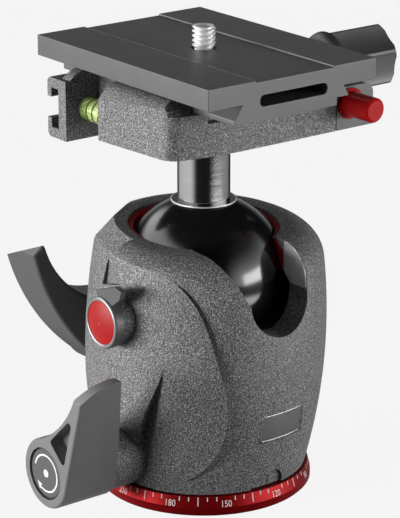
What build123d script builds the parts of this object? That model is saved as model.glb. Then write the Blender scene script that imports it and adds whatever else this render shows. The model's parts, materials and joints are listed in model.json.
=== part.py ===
from build123d import *
import math
import os

# A tripod ball head with a panning base, a quick-release clamp and its plate.
# Frame: origin at the centre of the base's underside, on the tripod screw's axis, +Z up.
# -Y is the front (portrait notch), +Y the back (ball lock), -X the side with the pan lock
# and the friction knob, +X the side with the clamp knob.

# ---------------------------------------------------------------- clearances (mm)
seat_gap = 0.02          # round fixed pieces in their seats
run_gap = 0.06           # radial clearance of shafts and pins that turn or slide
face_gap = 0.05          # flat faces that slide on each other
part_gap = 0.3           # faces of different bodies that pass without touching

# ---------------------------------------------------------------- base disc
base_radius = 30.0
base_height = 5.5
base_band_height = 2.5   # straight bright band under the degree scale
base_scale_radius = 29.2  # top of the conical degree scale
base_chamfer = 0.7
spindle_radius = 13.0
spindle_groove_depth = 0.6
thread_hole_radius = 3.97   # minor radius of a 3/8"-16 tapped hole
insert_radius = 8.0
insert_length = 13.0
insert_flange_radius = 11.0
insert_flange_height = 1.6

# ---------------------------------------------------------------- casting
body_radius = 34.0
body_widest_z = 48.0
body_side_arc = 163.0    # radius of the barrel's side outline
body_bottom_z = 5.8
rim_height = 74.2        # rim plane on the axis
rim_slope = 3.4          # degrees, lower at the front
rim_round = 9.0
rim_opening_radius = 20.9
cavity_radius = 26.5
core_wall_radius = 28.0
core_wall_top_z = 40.0
cavity_shoulder_z = 66.8
lobe_radius = 38.95      # raised skin on the lever side, at its widest
lobe_shift_x = 7.05
lobe_shift_y = -0.3
lobe_widest_z = 34.0
lobe_top_arc = 206.0     # radius of its outline above the widest place
lobe_foot_arc = 83.0     # radius of its outline below it
lobe_chamfer = 4.2
notch_width = 19.6
notch_x = 0.8            # the slot sits a little toward the clamp knob's side
notch_bottom_z = 50.8
notch_flare_x = -19.0    # left end of the notch's flared edge at the rim
badge_length = 15.5
badge_height = 8.2
badge_x = 2.4
badge_z = 24.6
badge_depth = 0.9
badge_sink = 0.2
index_scallop_radius = 5.4
index_scallop_depth = 1.0
hollow_rise = 0.25          # a hollow's far end comes out of the surface this much
facet_reach = 24.8          # cut corner of the rim, behind which the ball lock lever passes
facet_top_z = 75.2
facet_turn = 55.0           # degrees from -X toward the back
facet_lean = 38.4           # degrees from upright

# ---------------------------------------------------------------- ball, liner and cup
ball_radius = 23.5
ball_z = 59.2
ball_gap = 0.2
core_radius = 12.0
collar_radius = 9.2
collar_height = 1.1
stem_radius = 7.225
stem_seat_z = 77.0
liner_lip_sink = 0.9
liner_opening_radius = 19.4
liner_bottom_z = 64.2
cup_top_z = 47.0
cup_bottom_z = 37.6
cup_opening_radius = 10.6
wedge_slope = 15.0       # degrees
wedge_rail_inner = 12.0
wedge_rail_outer = 19.0
wedge_front_y = -8.0
wedge_back_y = 12.0
wedge_centre_z = 34.6    # height of the slope on the ball's axis
wedge_bridge_front_y = 7.0
wedge_bridge_above_shaft = 0.8

# ---------------------------------------------------------------- bearing floor
floor_bottom_z = 6.4
floor_top_z = 24.4
web_top_z = 18.5
washer_thickness = 0.6
retainer_radius = 15.6
retainer_thickness = 2.6
retainer_screw_circle = 10.5
retainer_screw_count = 3
retainer_screw_radius = 1.5
retainer_head_radius = 2.8
glide_outer = 23.0
glide_inner = 14.5

# ---------------------------------------------------------------- ball lock (axis along Y)
lock_z = 31.3
lock_shaft_radius = 4.0
lock_collar_radius = 5.6
lock_collar_thickness = 2.4
lock_bush_radius = 6.2
lock_bush_flange_radius = 9.0
lock_bush_flange = 1.8
lock_hub_radius = 11.2
lock_hub_inner_y = 37.0
lock_hub_outer_y = 53.0
lock_boss_y = 36.4
lock_boss_radius = 12.0
lock_tip = (-31.2, 61.0)
lock_tip_inside = (-27.4, 63.8)
lock_tip_drop = 6.8      # the tip's outer end is this much lower
lock_arm_low = (-25.6, 45.6)    # places on the arm's lower and upper outlines
lock_arm_foot = (-9.2, 24.9)
lock_arm_high = (-18.3, 49.2)
lock_arm_round = 1.0
lock_cap_radius = 9.6
lock_cap_dome = 4.4

# ---------------------------------------------------------------- pan lock (axis along -X)
pan_lock_z = 14.0
pan_screw_radius = 3.0
pan_pad_radius = 3.4
pan_pad_length = 4.6
pan_pad_gap = 0.25       # at each end of the pad, taken up as the lever turns
pan_hub_radius = 9.8
pan_hub_inner = 37.5
pan_hub_outer = 54.0
pan_boss_radius = 9.2
pan_arm_lean = 16.1      # degrees
pan_arm_top_z = 43.5
pan_cap_radius = 7.0
pan_cap_thickness = 1.6

# ---------------------------------------------------------------- friction control (axis along -X)
friction_y = -2.4
friction_z = 54.0
friction_knob_radius = 7.2
friction_knob_inner = 33.9
friction_knob_outer = 36.6
friction_cap_radius = 6.0
friction_boss_radius = 6.4
friction_pocket_floor = 28.2
friction_screw_radius = 3.0
friction_pad_radius = 3.6
friction_pad_end_x = 26.9
friction_seat_x = 29.4

# ---------------------------------------------------------------- plate
plate_width = 56.0
plate_length = 76.0
plate_bottom_z = 113.2
plate_height = 10.85
plate_top_z = plate_bottom_z + plate_height
dovetail_height = 5.1
plate_flange_z = plate_bottom_z + dovetail_height
plate_band_depth = 0.45
plate_band_left = -12.5
plate_band_right = 13.3
dovetail_neck = 16.9
dovetail_left = -19.5
dovetail_left_z = plate_bottom_z + 1.3
dovetail_right = 18.7
dovetail_right_z = plate_bottom_z + 2.1
dovetail_rebate_x = 14.6
slot_half_width = 11.1
slot_low_z = plate_bottom_z + 3.7
slot_high_z = slot_low_z + 3.0
slot_depth = 24.0
slot_corner_radius = 1.3
camera_screw_radius = 3.175
camera_screw_neck_radius = 2.5   # lets the screw drop into the plate without falling out
camera_screw_reach = 5.65
camera_screw_top_z = plate_top_z + camera_screw_reach
camera_screw_head_radius = 8.0
camera_screw_head_height = 2.2
camera_screw_head_above_floor = 3.0
camera_screw_runout = 0.3
camera_screw_tip_chamfer = 0.6
coin_slot_half_width = 0.8
coin_slot_depth = 1.2

# ---------------------------------------------------------------- clamp
clamp_half_length = 25.0
clamp_floor_z = plate_bottom_z - face_gap
clamp_height = 11.65
clamp_bottom_z = clamp_floor_z - clamp_height
clamp_left = -30.3         # at the back, with a slight taper toward the front
clamp_front_left = -28.0
clamp_right = 25.4
clamp_bow_x = -4.0         # the front face bends back from here to the left
clamp_bow = 2.6
clamp_corner_radius = 4.5
clamp_block_back_y = 6.5
clamp_pocket_x = -19.2
clamp_wall = 3.5
clamp_wall_front_y = clamp_half_length - clamp_wall
jaw_ridge = 3.7            # how far both jaws stand above the floor
jaw_ridge_front_y = -20.5
jaw_ridge_chamfer = 2.4
front_step_x = -17.3       # the floor's front edge is lowered to the right of this
front_step_depth = 2.7
front_step_back_y = -21.5
channel_drop = 3.8         # the channel hangs below the clamp's underside
channel_rise = 1.2
channel_bottom_z = clamp_bottom_z - channel_drop
channel_top_z = clamp_floor_z + channel_rise
channel_depth = 5.1
channel_flange = 2.8
channel_lip = 2.6
channel_lip_thickness = 1.8
jaw_left = clamp_right + part_gap
jaw_right = 38.6
jaw_round = 3.0
lip_round = 4.0
lip_right = 37.0
vial_radius = 3.4
vial_x = -22.6
vial_z = clamp_bottom_z + 4.4
vial_seat_depth = 1.5
rear_vial_radius = 2.6
rear_vial_length = 15.0
rear_vial_z = clamp_bottom_z + 4.5
knob_y = 3.6
knob_z = clamp_floor_z - 2.25
clamp_screw_radius = 1.8
clamp_screw_end_x = 12.0
knob_neck_radius = 5.0
knob_washer_thickness = 0.6
knob_neck_x = jaw_right + knob_washer_thickness + face_gap
knob_shoulder_x = 43.0
knob_rim_x = 46.8
knob_end_x = 65.3
knob_radius = 9.6
knob_lobes = 6
knob_first_lobe = 10.0     # degrees
knob_flute_radius = 13.0
knob_flute_depth = 1.9
guide_pin_radius = 1.5
guide_pin_y = 16.0
guide_pin_z = clamp_bottom_z + 6.0
guide_pin_left = 8.0
guide_pin_right = 34.5
button_x = 30.2
button_z = clamp_bottom_z + 7.1
button_radius = 3.4
button_front_y = -35.7
button_back_y = -21.5
button_chamfer = 0.7
button_bush_radius = 4.3
button_bush_depth = 1.5
button_bush_proud = 0.6
button_bore_back_y = -18.2
stem_bolt_radius = 3.0
stem_bolt_head_radius = 6.0
stem_bolt_bottom_z = 73.0
stem_bolt_head_sink = 0.4
stem_top_z = clamp_bottom_z + 2.5

# ---------------------------------------------------------------- directions of turned pieces
toward_left = Rot(0, -90, 0)
toward_right = Rot(0, 90, 0)
toward_back = Rot(-90, 0, 0)
toward_front = Rot(90, 0, 0)
far = 100.0              # longer than any cut
sky = 200.0              # above every piece
bore_start = 20.0        # inside the casting's bore, where the holes in its wall begin


def turned(*stations):
    """A solid of revolution about Z through (radius, height) stations."""
    outline = make_face(Plane.XZ * Polyline(*stations, close=True))
    return revolve(outline, Axis.Z)


def ring(outer, inner, low, high):
    """A ring about Z between two heights."""
    return turned((inner, low), (outer, low), (outer, high), (inner, high))


def disc(radius, low, high):
    """A plain round rod about Z between two heights."""
    return Pos(0, 0, (low + high) / 2) * Cylinder(radius, high - low)


def block(x_range, y_range, z_range):
    """A box given by its limits along X, Y and Z."""
    size = [high - low for low, high in (x_range, y_range, z_range)]
    middle = [(high + low) / 2 for low, high in (x_range, y_range, z_range)]
    return Pos(*middle) * Box(*size)


def front_prism(outline, front_y, back_y):
    """An outline in X and Z, extruded along Y."""
    return Pos(0, back_y, 0) * extrude(Plane.XZ * outline, back_y - front_y)


def side_prism(outline, left_x, right_x):
    """An outline in Y and Z, extruded along X."""
    return Pos(left_x, 0, 0) * extrude(Plane.YZ * outline, right_x - left_x)


def polygon(*points):
    return make_face(Polyline(*points, close=True))


# ================================================================ base
def pan_base():
    disc_outline = turned(
        (insert_radius + seat_gap, 0),
        (base_radius - base_chamfer, 0),
        (base_radius, base_chamfer),
        (base_radius, base_band_height),
        (base_scale_radius, base_height),
        (spindle_radius, base_height),
        (spindle_radius, spindle_top_z),
        (insert_radius + seat_gap, spindle_top_z),
    )
    flange_seat = disc(insert_flange_radius + seat_gap, 0, insert_flange_height)
    groove = ring(spindle_radius + 1, spindle_radius - spindle_groove_depth,
                  pan_lock_z - pan_pad_radius, pan_lock_z + pan_pad_radius)
    screw_holes = [
        Pos(*spot, 0) * disc(retainer_screw_radius + seat_gap, spindle_top_z - 4, spindle_top_z)
        for spot in retainer_spots()
    ]
    return disc_outline - flange_seat - groove - screw_holes


def retainer_spots():
    step = 2 * math.pi / retainer_screw_count
    return [
        (retainer_screw_circle * math.cos(step * i), retainer_screw_circle * math.sin(step * i))
        for i in range(retainer_screw_count)
    ]


def base_thread_insert():
    return turned(
        (thread_hole_radius, 0),
        (insert_flange_radius, 0),
        (insert_flange_radius, insert_flange_height - face_gap),
        (insert_radius, insert_flange_height - face_gap),
        (insert_radius, insert_length),
        (thread_hole_radius, insert_length),
    )


def pan_retainer():
    plate = disc(retainer_radius, spindle_top_z, spindle_top_z + retainer_thickness)
    holes = [
        Pos(*spot, 0) * turned(
            (0, spindle_top_z - 1),
            (retainer_screw_radius + seat_gap, spindle_top_z - 1),
            (retainer_screw_radius + seat_gap, retainer_head_z),
            (retainer_head_radius + seat_gap, spindle_top_z + retainer_thickness),
            (0, spindle_top_z + retainer_thickness),
        )
        for spot in retainer_spots()
    ]
    return plate - holes


def retainer_screws():
    return [
        Pos(*spot, 0) * turned(
            (0, spindle_top_z - 3.5),
            (retainer_screw_radius, spindle_top_z - 3.5),
            (retainer_screw_radius, retainer_head_z),
            (retainer_head_radius - face_gap, spindle_top_z + retainer_thickness - face_gap),
            (0, spindle_top_z + retainer_thickness - face_gap),
        )
        for spot in retainer_spots()
    ]


def glide_washer():
    return ring(glide_outer, glide_inner, base_height, floor_bottom_z - face_gap)


# ================================================================ housing
def side_radius(z):
    return body_radius - body_side_arc + math.sqrt(body_side_arc**2 - (z - body_widest_z) ** 2)


def barrel(shrink=0.0, top_z=82.0):
    """The barrel-shaped outer form, as high as its untrimmed top."""
    def at(z):
        return (side_radius(z) - shrink, z)

    side = ThreePointArc(at(body_bottom_z), at(body_widest_z - 8), at(top_z))
    foot = Polyline((0, top_z), (0, body_bottom_z), at(body_bottom_z))
    top = Line(at(top_z), (0, top_z))
    return revolve(make_face(Plane.XZ * (foot + side + top)), Axis.Z)


def rim_plane(sink=0.0):
    return Plane(origin=(0, 0, rim_height - sink),
                 z_dir=(0, -math.sin(math.radians(rim_slope)), math.cos(math.radians(rim_slope))))


def below_rim(solid, sink=0.0):
    return split(solid, rim_plane(sink), keep=Keep.BOTTOM)


def top_edge(solid):
    """The outer edge of the rim plane."""
    rim_faces = solid.faces().filter_by(lambda f: f.normal_at().Z > 0.9 and f.center().Z > 60)
    return rim_faces.sort_by(SortBy.AREA)[-1].outer_wire().edges()


def lobe_region():
    """Where the raised skin of the lever side replaces the barrel."""
    crease = Spline((-32.5, 77), (-30.2, 73.2), (-26.6, 70.0), (-22.0, 62.8), (-18.3, 46.6), (-16.3, 35.0),
                    (-16.8, 24.0), (-21.0, 12.0), (-30, 3.0))
    corner = Polyline((-30, 3), (-60, 3), (-60, 77), (-32.5, 77))
    front = front_prism(make_face(crease + corner), -far, 0)
    back = polygon((-far, 0), (-23.3, 0), (-22.4, lobe_widest_z), (-11.3, 68), (-8.5, 77), (-far, 77))
    back = front_prism(back, 0, far)
    return front + back


def lobe():
    """The raised skin's own barrel, set off the axis, widest low down."""
    def at(z):
        arc = lobe_top_arc if z > lobe_widest_z else lobe_foot_arc
        return (lobe_radius - arc + math.sqrt(arc**2 - (z - lobe_widest_z) ** 2), z)

    top_z = 82.0
    widest = (lobe_radius, lobe_widest_z)
    outline = (
        Polyline(at(top_z), (0, top_z), (0, body_bottom_z), at(body_bottom_z))
        + ThreePointArc(at(body_bottom_z), at((body_bottom_z + lobe_widest_z) / 2), widest)
        + ThreePointArc(widest, at((top_z + lobe_widest_z) / 2), at(top_z))
    )
    return Pos(lobe_shift_x, lobe_shift_y, 0) * revolve(make_face(Plane.XZ * outline), Axis.Z)


def roll_in(centre, sections):
    """A hollow beside an edge: full depth at the edge, fading into the surface beyond it.

    Each section is (height, surface radius, edge angle, end angle, depth), angles from -X toward -Y.
    """
    outlines = []
    for z, radius, edge, end, depth in sections:
        def at(share, lift=0.0):
            turn = math.radians(edge + (end - edge) * share)
            reach = radius + lift + hollow_rise * share - depth * (1 - share) ** 2
            return (centre[0] - reach * math.cos(turn), centre[1] - reach * math.sin(turn))

        floor = [at(share) for share in (0, 0.25, 0.5, 0.75, 1.0)]
        outside = [at(1.0), at(1.0, 1.0), at(1.0, 9.0), at(0.5, 12.0), at(0, 9.0), at(0)]
        outlines.append(Pos(0, 0, z) * make_face(Spline(*floor) + Polyline(*outside)))
    return loft(outlines)


def crease_hollow():
    """The barrel rolls in beside the raised skin's edge, most below the rim."""
    return roll_in((0, 0), [
        (73.5, 28.8, 22, 44, -0.3),
        (69.0, 32.1, 28, 62, 2.0),
        (62.8, 33.4, 43, 74, 3.2),
        (54.0, 33.9, 51, 79, 2.0),
        (45.0, 34.0, 56, 79, 0.9),
        (36.0, 33.7, 60, 78, -0.3),
    ])


def hub_hollow():
    """The raised skin rolls in beside the pan lock's fairing, most at half its height."""
    return roll_in((lobe_shift_x, lobe_shift_y), [
        (47.5, 38.5, 29.0, 35.0, -0.3),
        (34.0, 38.95, 21.5, 41.0, 2.2),
        (25.0, 38.4, 15.5, 42.0, 3.4),
        (15.0, 36.8, 11.0, 42.0, 2.4),
        (5.0, 33.7, 7.0, 42.0, 0.4),
    ])


def rim_facet():
    """The slanted plane across the rim's back left corner."""
    turn = math.radians(facet_turn)
    lean = math.radians(facet_lean)
    aim = (-math.cos(turn), math.sin(turn))
    normal = (aim[0] * math.cos(lean), aim[1] * math.cos(lean), math.sin(lean))
    return Plane(origin=(aim[0] * facet_reach, aim[1] * facet_reach, facet_top_z), z_dir=normal)


def outer_form():
    main = below_rim(barrel())
    main = fillet(top_edge(main), rim_round) - crease_hollow()
    skin = below_rim(lobe())
    skin = chamfer(top_edge(skin), lobe_chamfer) - hub_hollow()
    region = lobe_region()
    return split((main - region) + (skin & region), rim_facet(), keep=Keep.BOTTOM)


def notch():
    """The slot that the stem drops into for portrait shots, with its flared left edge."""
    half = notch_width / 2
    left = notch_x - half
    right = notch_x + half
    centre_z = notch_bottom_z + half
    flare = Spline((left, centre_z), (left - 3.7, centre_z + 7.1), (notch_flare_x, 84))
    outline = make_face(
        flare
        + Polyline((notch_flare_x, 84), (right, 84), (right, centre_z))
        + ThreePointArc((right, centre_z), (notch_x, notch_bottom_z), (left, centre_z))
    )
    return front_prism(outline, -far, -rim_opening_radius * 0.6)


def cavity():
    """The bore from below, the shoulder over the liner and the rim's opening."""
    return turned(
        (0, 0),
        (cavity_radius, 0),
        (cavity_radius, cavity_shoulder_z),
        (rim_opening_radius, cavity_shoulder_z + cavity_radius - rim_opening_radius),
        (rim_opening_radius, 90),
        (0, 90),
    )


def badge_window(trim=0.0):
    return block((badge_x - badge_length / 2 + trim, badge_x + badge_length / 2 - trim),
                 (-far, 0),
                 (badge_z - badge_height / 2 + trim, badge_z + badge_height / 2 - trim))


def body_casting():
    casting = outer_form() + disc(core_wall_radius, body_bottom_z, core_wall_top_z)
    pan_boss_end = pan_hub_inner - part_gap
    pan_boss = Pos(0, 0, pan_lock_z) * toward_left * disc(pan_boss_radius, bore_start, pan_boss_end)
    casting += pan_boss & block((-far, 0), (-far, far), (body_bottom_z, far))
    casting += Pos(0, 0, lock_z) * toward_back * disc(lock_boss_radius, bore_start, lock_boss_y)
    at_friction = Pos(0, friction_y, friction_z) * toward_left
    casting += at_friction * disc(friction_boss_radius, bore_start, friction_knob_inner - part_gap)
    casting -= cavity()
    casting -= notch()
    casting -= badge_window() - barrel(shrink=badge_depth)
    scallop = Pos(0, 0, body_bottom_z) * toward_front * disc(index_scallop_radius, 0, far)
    casting -= scallop - barrel(shrink=index_scallop_depth)
    casting -= Pos(0, 0, pan_lock_z) * toward_left * disc(pan_screw_radius + part_gap, bore_start, far)
    casting -= Pos(0, 0, lock_z) * toward_back * lock_bush_seat()
    casting -= at_friction * disc(friction_pad_radius + run_gap, bore_start, friction_seat_x)
    casting -= at_friction * disc(friction_screw_radius + run_gap, bore_start, far)
    pocket = polygon((5.2, 68.3), (6.7, 61.0), (-1.7, 63.0), (-0.3, 67.6))
    casting -= side_prism(pocket, -far, -friction_pocket_floor)
    return casting


def lock_bush_seat():
    return (disc(lock_bush_radius + seat_gap, bore_start, far)
            + disc(lock_bush_flange_radius + seat_gap, lock_boss_y - lock_bush_flange, far))


def badge_plate():
    skin = barrel(shrink=badge_sink) - barrel(shrink=badge_depth)
    return skin & badge_window(trim=0.1)


def bearing_floor():
    """The floor screwed into the casting from below; the spindle turns in it."""
    body = disc(cavity_radius - seat_gap, floor_bottom_z, floor_top_z)
    body -= disc(spindle_radius + run_gap, 0, web_top_z)
    body -= disc(retainer_radius + part_gap, web_top_z, floor_top_z)
    body -= Pos(0, 0, pan_lock_z) * toward_left * disc(pan_pad_radius + run_gap, 10, pan_pad_seat_x)
    body -= Pos(0, 0, pan_lock_z) * toward_left * disc(pan_screw_radius + run_gap, 10, far)
    return body


def thrust_washer():
    return ring(retainer_radius, spindle_radius + part_gap, web_top_z, web_top_z + washer_thickness)


def ball_liner():
    """The red ring that the ball bears on, with a lip that shows inside the rim."""
    outer = turned(
        (0, liner_bottom_z),
        (cavity_radius - seat_gap, liner_bottom_z),
        (cavity_radius - seat_gap, cavity_shoulder_z - seat_gap),
        (rim_opening_radius - seat_gap, cavity_shoulder_z + cavity_radius - rim_opening_radius - seat_gap),
        (rim_opening_radius - seat_gap, 82),
        (0, 82),
    )
    liner = below_rim(outer, liner_lip_sink) - Pos(0, 0, ball_z) * Sphere(ball_radius + ball_gap)
    liner -= disc(liner_opening_radius, ball_z, 90)
    return liner - notch()


def lock_bush():
    return Pos(0, 0, lock_z) * toward_back * turned(
        (lock_shaft_radius + run_gap, lock_collar_end_y + face_gap),
        (lock_bush_radius, lock_collar_end_y + face_gap),
        (lock_bush_radius, lock_boss_y - lock_bush_flange),
        (lock_bush_flange_radius, lock_boss_y - lock_bush_flange),
        (lock_bush_flange_radius, lock_boss_y),
        (lock_shaft_radius + run_gap, lock_boss_y),
    )


# ================================================================ ball lock
def lower_cup():
    """The cup that lifts against the ball, with two wedge feet below it."""
    cup = ring(cavity_radius - ball_gap, cup_opening_radius, cup_bottom_z, cup_top_z)
    slope = math.tan(math.radians(wedge_slope))

    def slope_z(y):
        return wedge_centre_z - slope * y + face_gap

    foot_outline = polygon(
        (wedge_front_y, cup_bottom_z), (wedge_front_y, slope_z(wedge_front_y)),
        (wedge_back_y, slope_z(wedge_back_y)), (wedge_back_y, cup_bottom_z))
    for side in (-1, 1):
        left, right = sorted((side * wedge_rail_inner, side * wedge_rail_outer))
        cup += side_prism(foot_outline, left, right)
    return cup - Pos(0, 0, ball_z) * Sphere(ball_radius + ball_gap)


def lock_wedge():
    """The fork that the lock shaft draws back, so that its two slopes lift the cup."""
    slope = math.tan(math.radians(wedge_slope))
    rail = polygon(
        (wedge_front_y, wedge_bottom_z), (wedge_front_y, wedge_centre_z - slope * wedge_front_y),
        (wedge_back_y, wedge_centre_z - slope * wedge_back_y), (wedge_back_y, wedge_bottom_z))
    wedge = side_prism(rail, wedge_rail_inner, wedge_rail_outer)
    wedge += side_prism(rail, -wedge_rail_outer, -wedge_rail_inner)
    wedge += block((-wedge_rail_inner, wedge_rail_inner), (wedge_bridge_front_y, wedge_back_y),
                   (wedge_bottom_z, lock_z + lock_shaft_radius + wedge_bridge_above_shaft))
    wedge -= Pos(0, 0, lock_z) * toward_back * disc(lock_shaft_radius + run_gap, -20, 20)
    return wedge


def ball_lock_shaft():
    return Pos(0, 0, lock_z) * toward_back * turned(
        (0, wedge_front_y + 8),
        (lock_shaft_radius - 0.6, wedge_front_y + 8),
        (lock_shaft_radius, wedge_front_y + 8.6),
        (lock_shaft_radius, lock_collar_y),
        (lock_collar_radius, lock_collar_y),
        (lock_collar_radius, lock_collar_end_y),
        (lock_shaft_radius, lock_collar_end_y),
        (lock_shaft_radius, lock_hub_outer_y - 2),
        (0, lock_hub_outer_y - 2),
    )


def ball_lock_lever():
    centre = (0, lock_z)
    arm = make_face(
        ThreePointArc(lock_tip, lock_arm_low, lock_arm_foot)
        + Line(lock_arm_foot, centre)
        + Line(centre, (0, lock_z + lock_hub_radius))
        + ThreePointArc((0, lock_z + lock_hub_radius), lock_arm_high, lock_tip_inside)
        + Line(lock_tip_inside, lock_tip)
    )
    hub = Pos(*centre) * Circle(lock_hub_radius)
    lever = front_prism(arm + hub, lock_hub_inner_y, lock_hub_outer_y)
    tip_cut = polygon((lock_hub_inner_y - 1, lock_tip_inside[1] + 0.4),
                      (lock_hub_outer_y + 1, lock_tip_inside[1] - lock_tip_drop),
                      (lock_hub_outer_y + 1, far), (lock_hub_inner_y - 1, far))
    lever -= side_prism(tip_cut, -far, far)
    rims = lever.faces().filter_by(Axis.Y).edges()
    lever = fillet(rims, lock_arm_round)
    shaft_hole = Pos(0, 0, lock_z) * toward_back * disc(lock_shaft_radius + seat_gap, 0, lock_hub_outer_y - 2)
    cap_seat = Pos(0, 0, lock_z) * toward_back * disc(lock_cap_radius + seat_gap, lock_hub_outer_y - 2, far)
    return lever - shaft_hole - cap_seat


def ball_lock_cap():
    cap = disc(lock_cap_radius, lock_hub_outer_y - 2 + face_gap, lock_hub_outer_y)
    dome_radius = (lock_cap_radius**2 + lock_cap_dome**2) / (2 * lock_cap_dome)
    dome = Pos(0, 0, lock_hub_outer_y + lock_cap_dome - dome_radius) * Sphere(dome_radius)
    dome &= disc(lock_cap_radius, lock_hub_outer_y, lock_hub_outer_y + lock_cap_dome + 1)
    return Pos(0, 0, lock_z) * toward_back * (cap + dome)


# ================================================================ pan lock
def pan_lock_pad():
    end = spindle_radius - spindle_groove_depth + pan_pad_gap
    pad = disc(pan_pad_radius, 0, end + pan_pad_length)
    pad = Pos(0, 0, pan_lock_z) * toward_left * pad
    return pad - disc(end, 0, 40)


def pan_lock_screw():
    start = spindle_radius - spindle_groove_depth + pan_pad_length + 2 * pan_pad_gap
    return Pos(0, 0, pan_lock_z) * toward_left * disc(pan_screw_radius, start, pan_hub_outer - 3)


def pan_lock_lever():
    lean = math.radians(pan_arm_lean)
    reach = (-math.sin(lean), math.cos(lean))
    centre = (0, pan_lock_z)
    foot = (-pan_hub_radius * math.cos(lean), pan_lock_z - pan_hub_radius * math.sin(lean))
    arm_length = (pan_arm_top_z + 2 - foot[1]) / reach[1]
    tip = (foot[0] + reach[0] * arm_length, foot[1] + reach[1] * arm_length)
    tip_inside = (tip[0] + 3.4, tip[1])
    hub_top = (2.4, pan_lock_z + 9.5)
    arm = make_face(
        Polyline(centre, foot, tip, tip_inside)
        + ThreePointArc(tip_inside, (-8.9, 32.0), hub_top)
        + Line(hub_top, centre)
    )
    hub = Pos(*centre) * Circle(pan_hub_radius)
    lever = side_prism(arm + hub, -pan_hub_outer, -pan_hub_inner)
    profile = make_face(
        Polyline((-pan_hub_outer, 39.1), (-pan_hub_outer, 0), (-pan_hub_inner, 0), (-pan_hub_inner, 15),
                 (-38.0, 18.5), (-41.7, pan_arm_top_z))
        + ThreePointArc((-41.7, pan_arm_top_z), (-48.2, 42.6), (-pan_hub_outer, 39.1))
    )
    lever &= front_prism(profile, -far, far)
    outer_rim = lever.faces().sort_by(Axis.X)[0].edges()
    lever = fillet(outer_rim, 0.8)
    pocket = fillet(polygon((-13.6, 34.6), (-2.6, 24.2), (-9.0, 18.6)).vertices(), 1.0)
    lever -= side_prism(pocket, -far, -pan_hub_outer + 4.0)
    shaft_hole = toward_left * disc(pan_screw_radius + seat_gap, 0, pan_hub_outer - 3)
    cap_seat = toward_left * disc(pan_cap_radius + 0.3, pan_hub_outer - pan_cap_thickness - 0.4, far)
    return lever - Pos(0, 0, pan_lock_z) * shaft_hole - Pos(0, 0, pan_lock_z) * cap_seat


def pan_lock_cap():
    back = pan_hub_outer - pan_cap_thickness - 0.4
    cap = disc(pan_cap_radius, back + face_gap, back + pan_cap_thickness)
    cap = chamfer(cap.edges().sort_by(Axis.Z)[-1], 0.3)
    return Pos(0, 0, pan_lock_z) * toward_left * cap


# ================================================================ friction control
def friction_knob():
    knob = toward_left * disc(friction_knob_radius, friction_knob_inner, friction_knob_outer)
    knob = fillet(knob.edges().sort_by(Axis.X)[0], 0.5)
    wing = polygon((2.0, 5.0), (3.0, 8.4), (-5.5, 11.4), (-8.6, 10.8), (-7.6, 8.2), (-4.0, 5.5))
    knob += side_prism(wing, -friction_knob_outer + 0.6, -friction_knob_inner - 0.4)
    knob -= toward_left * disc(friction_cap_radius + seat_gap, friction_knob_outer - 1.2, far)
    knob -= toward_left * disc(friction_screw_radius + seat_gap, 0, friction_knob_outer - 1.2)
    return Pos(0, friction_y, friction_z) * knob


def friction_cap():
    low = friction_knob_outer - 1.2 + face_gap
    dome = (friction_cap_radius**2 + 1.0) / 2.0
    cap = disc(friction_cap_radius, low, low + 2.4)
    cap &= Pos(0, 0, friction_knob_outer + 0.9 - dome) * Sphere(dome)
    return Pos(0, friction_y, friction_z) * toward_left * cap


def friction_screw():
    return (Pos(0, friction_y, friction_z) * toward_left
            * disc(friction_screw_radius, friction_seat_x - 0.6, friction_knob_outer - 1.2 - face_gap))


def friction_pad():
    pad = toward_left * disc(friction_pad_radius, bore_start, friction_pad_end_x)
    return Pos(0, friction_y, friction_z) * pad - Pos(0, 0, ball_z) * Sphere(ball_radius + ball_gap)


# ================================================================ ball and stem
def ball():
    sphere = Pos(0, 0, ball_z) * (Sphere(ball_radius) - Sphere(core_radius + face_gap))
    sphere -= disc(stem_radius + seat_gap, stem_seat_z, far)
    sphere -= disc(collar_radius + seat_gap, collar_bottom_z, far)
    return sphere - disc(stem_bolt_radius + seat_gap, stem_bolt_bottom_z - 0.5, far)


def ball_core():
    return Pos(0, 0, ball_z) * Sphere(core_radius)


def ball_collar():
    top = collar_bottom_z + collar_height
    return turned(
        (stem_radius + seat_gap, collar_bottom_z),
        (collar_radius, collar_bottom_z),
        (collar_radius, top - 0.5),
        (collar_radius - 0.5, top),
        (stem_radius + seat_gap, top),
    )


def stem():
    return turned(
        (stem_bolt_radius + seat_gap, stem_seat_z),
        (stem_radius, stem_seat_z),
        (stem_radius, stem_top_z),
        (stem_bolt_radius + seat_gap, stem_top_z),
    )


def stem_bolt():
    return turned(
        (0, stem_bolt_bottom_z),
        (stem_bolt_radius, stem_bolt_bottom_z),
        (stem_bolt_radius, stem_bolt_shoulder_z),
        (stem_bolt_head_radius, stem_bolt_head_z),
        (0, stem_bolt_head_z),
    )


# ================================================================ clamp
def clamp_plan():
    """The clamp's outline from above: straight back, tapered side, bowed front, one rounded corner."""
    front_y = -clamp_half_length
    corner = (clamp_front_left, front_y + clamp_bow + 0.8)
    middle = ((clamp_bow_x + corner[0]) / 2, front_y + clamp_bow * 0.3)
    bow = ThreePointArc((clamp_bow_x, front_y), middle, corner)
    sides = Polyline(corner, (clamp_left, clamp_block_back_y), (clamp_left, clamp_half_length),
                     (clamp_right, clamp_half_length), (clamp_right, front_y), (clamp_bow_x, front_y))
    plan = make_face(bow + sides)
    return fillet(plan.vertices().sort_by_distance(corner)[0], clamp_corner_radius)


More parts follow.
